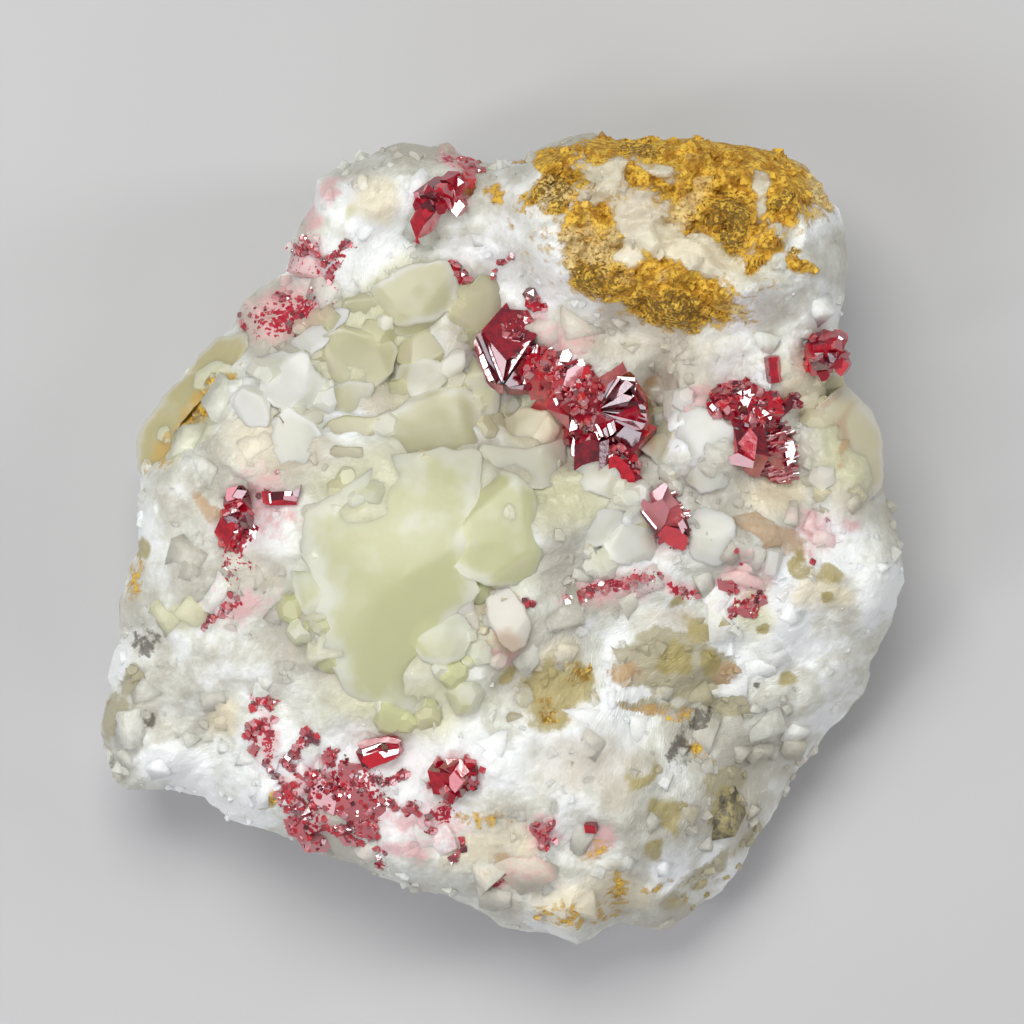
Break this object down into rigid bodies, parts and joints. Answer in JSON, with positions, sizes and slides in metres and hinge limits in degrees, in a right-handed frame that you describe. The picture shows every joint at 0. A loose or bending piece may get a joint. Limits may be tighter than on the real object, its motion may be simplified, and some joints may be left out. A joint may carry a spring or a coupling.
{
  "type": "cinnabar on matrix",
  "caption": "Mineral hand specimen: deep red cinnabar crystals and pale calcite crystals seated in a white carbonate rock with an ochre crust, lying on its flat broken back.",
  "frame": {"origin": "middle of the rock's flat broken back, where it lies on the table", "axes": "+Z out of the back towards the crystals, +X to the right and +Y to the top of the specimen as it is shown"},
  "size_m": [0.0717, 0.0723, 0.0275],
  "materials": {
    "carbonate_rock": "white granular calcite-dolomite rock, translucent on its edges, with ochre iron crust, grey-beige patches and pink stains",
    "calcite": "pale yellow-green to colourless calcite crystals, translucent, vitreous",
    "cinnabar": "deep red cinnabar crystals with adamantine lustre, striated faces"
  },
  "bodies": {
    "root": {"matrix": "carbonate_rock", "calcite_vug_group": "calcite", "calcite_left_block": "calcite", "calcite_yellow_group": "calcite", "calcite_ring_block": "calcite", "calcite_jagged_group": "calcite", "calcite_right_block": "calcite", "calcite_white_block": "calcite", "calcite_left_slab": "calcite", "calcite_right_mass": "calcite", "calcite_blade_cream": "calcite", "calcite_blade_pair": "calcite", "calcite_tooth": "calcite", "calcite_tooth_right": "calcite", "cinnabar_main_group": "cinnabar", "cinnabar_right_group": "cinnabar", "cinnabar_tablet": "cinnabar", "cinnabar_edge_cluster": "cinnabar", "cinnabar_rod_upper": "cinnabar", "cinnabar_top_blade": "cinnabar", "cinnabar_drop": "cinnabar", "cinnabar_top_bead": "cinnabar", "cinnabar_column": "cinnabar", "cinnabar_column_side": "cinnabar", "cinnabar_rod_left": "cinnabar", "cinnabar_step_crystal": "cinnabar", "cinnabar_step_strip": "cinnabar", "cinnabar_step_bead": "cinnabar", "cinnabar_lower_block": "cinnabar", "cinnabar_grain_patch": "cinnabar", "cinnabar_patch_left": "cinnabar", "cinnabar_patch_top": "cinnabar", "cinnabar_star": "cinnabar", "cinnabar_vein_lower": "cinnabar", "cinnabar_vein_upper": "cinnabar", "cinnabar_seed_round": "cinnabar", "cinnabar_seed_tail": "cinnabar", "cinnabar_seed_dark": "cinnabar", "cinnabar_seed_pale": "cinnabar", "cinnabar_strip_lower": "cinnabar", "cinnabar_lower_right": "cinnabar", "cinnabar_dot": "cinnabar", "cinnabar_crescent": "cinnabar", "cinnabar_crescent_seed": "cinnabar", "cinnabar_left_vein": "cinnabar", "cinnabar_left_vein_tail": "cinnabar", "cinnabar_right_seed": "cinnabar"}
  },
  "joints": []
}
